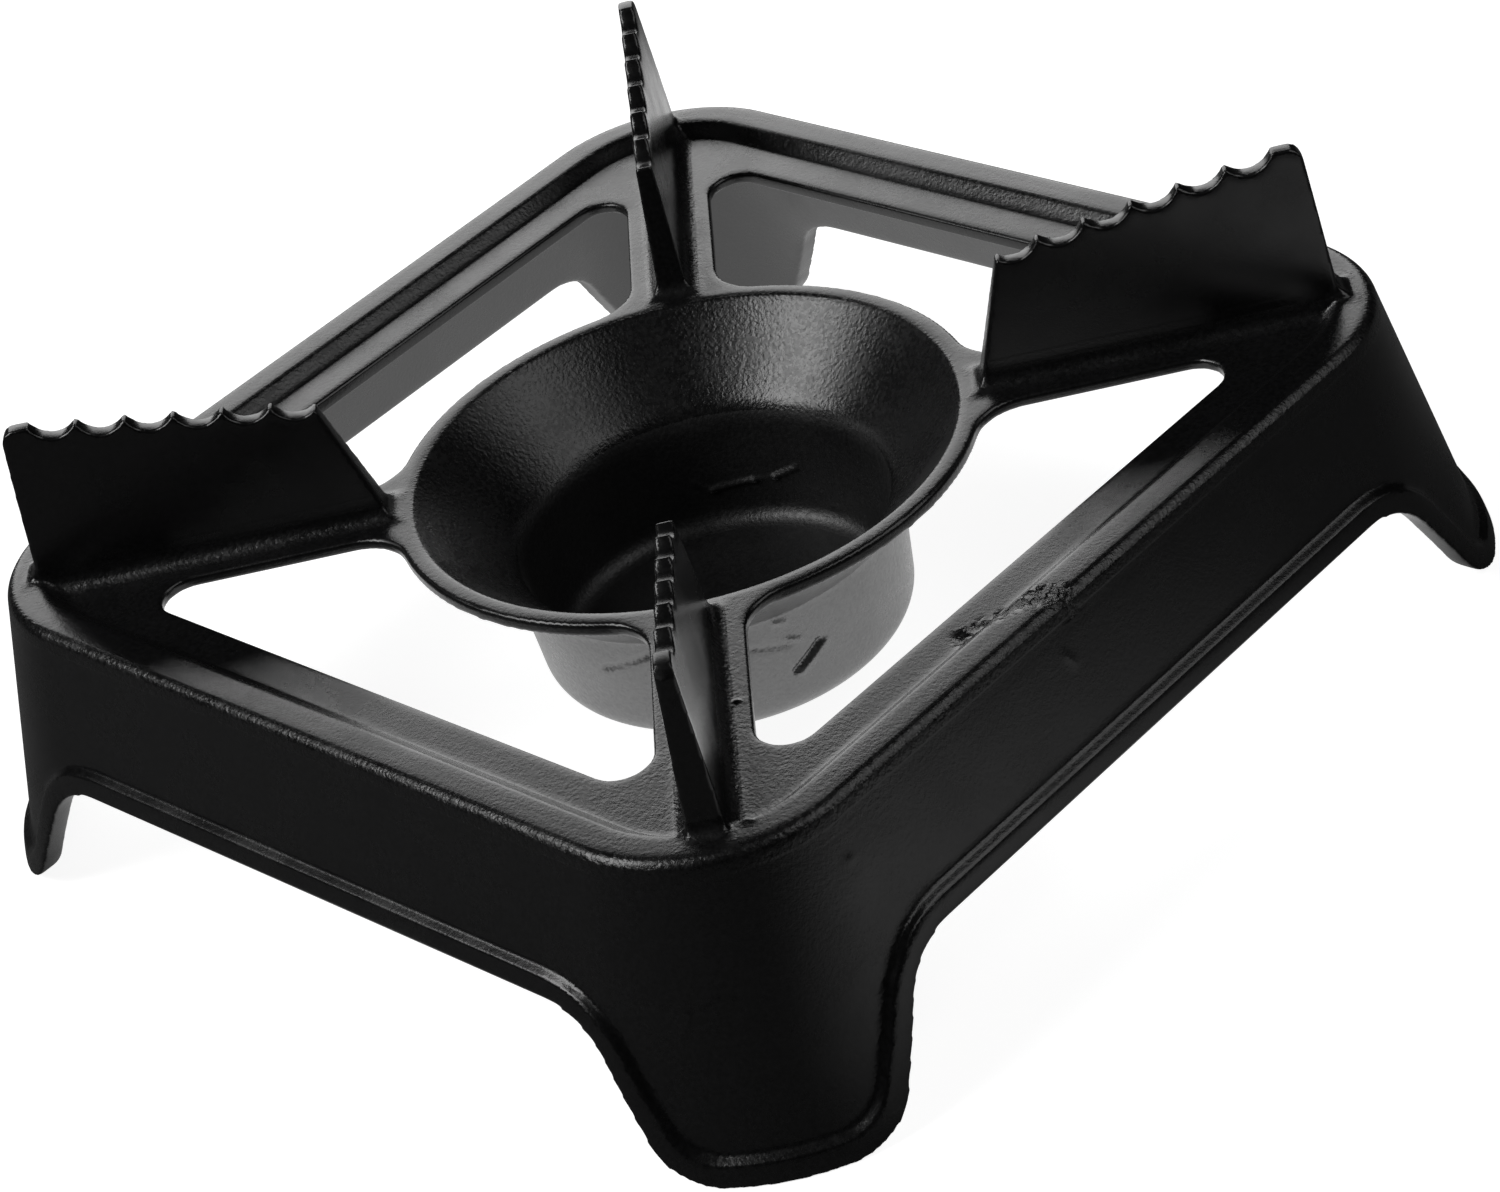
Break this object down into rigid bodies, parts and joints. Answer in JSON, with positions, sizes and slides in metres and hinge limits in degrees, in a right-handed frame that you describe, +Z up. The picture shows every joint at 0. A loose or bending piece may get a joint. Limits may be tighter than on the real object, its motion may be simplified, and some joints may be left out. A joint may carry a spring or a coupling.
{
  "type": "burner stand",
  "caption": "Low square cast-iron burner stand: flared feet, arched skirt, rimmed open frame, diagonal arms with toothed pot fins, and a round fuel bowl in the middle.",
  "frame": {"origin": "centre of the stand's footprint, on the floor plane under its feet", "axes": "+Z up through the middle of the bowl; X and Y square to the sides; -Y is the front side"},
  "size_m": [0.194, 0.194, 0.0765],
  "materials": {
    "iron": "satin black coat over a fine rough-cast surface"
  },
  "bodies": {
    "root": {"leg_front_left": "iron", "leg_front_right": "iron", "leg_back_right": "iron", "leg_back_left": "iron", "apron_front": "iron", "apron_right": "iron", "apron_back": "iron", "apron_left": "iron", "rail_front": "iron", "rail_right": "iron", "rail_back": "iron", "rail_left": "iron", "corner_front_left": "iron", "corner_front_right": "iron", "corner_back_right": "iron", "corner_back_left": "iron", "arm_front_left": "iron", "arm_front_right": "iron", "arm_back_right": "iron", "arm_back_left": "iron", "fin_front_left": "iron", "fin_front_right": "iron", "fin_back_right": "iron", "fin_back_left": "iron", "ring": "iron", "flare": "iron", "fuel_cup": "iron"}
  },
  "joints": []
}
